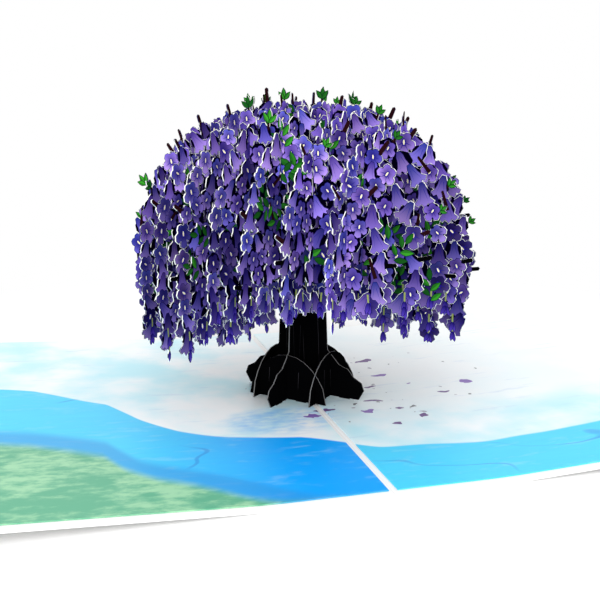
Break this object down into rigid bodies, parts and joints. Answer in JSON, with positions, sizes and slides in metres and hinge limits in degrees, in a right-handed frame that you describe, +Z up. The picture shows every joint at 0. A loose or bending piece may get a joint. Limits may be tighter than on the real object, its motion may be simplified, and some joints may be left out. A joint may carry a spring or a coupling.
{
  "type": "pop up card",
  "caption": "Folded greeting card lying open, with a standing tree of slotted paper sheets: dome of blue and violet blossom, black trunk and roots.",
  "frame": {"origin": "on the supporting face under the card, at the middle of the fold", "axes": "+X across the fold to the right half, +Y along the fold away from the viewer, +Z up through the tree"},
  "size_m": [0.2538, 0.178, 0.1038],
  "materials": {
    "white_card": "smooth matte white card",
    "printed_liner": "printed paper, faint satin",
    "trunk_print": "printed paper with white cut edges",
    "root_print": "black printed paper",
    "blossom_print": "printed paper with white cut edges"
  },
  "bodies": {
    "root": {"cover": "white_card", "liner_left": "printed_liner", "liner_right": "printed_liner", "trunk_sheet_a": "trunk_print", "trunk_sheet_b": "trunk_print", "root_sheet_a_near": "root_print", "root_sheet_a_far": "root_print", "root_sheet_b_near": "root_print", "root_sheet_b_far": "root_print", "blossom_sheet_a1": "blossom_print", "blossom_sheet_a2": "blossom_print", "blossom_sheet_a3": "blossom_print", "blossom_sheet_a5": "blossom_print", "blossom_sheet_a6": "blossom_print", "blossom_sheet_a7": "blossom_print", "blossom_sheet_b1": "blossom_print", "blossom_sheet_b2": "blossom_print", "blossom_sheet_b3": "blossom_print", "blossom_sheet_b5": "blossom_print", "blossom_sheet_b6": "blossom_print", "blossom_sheet_b7": "blossom_print"}
  },
  "joints": []
}
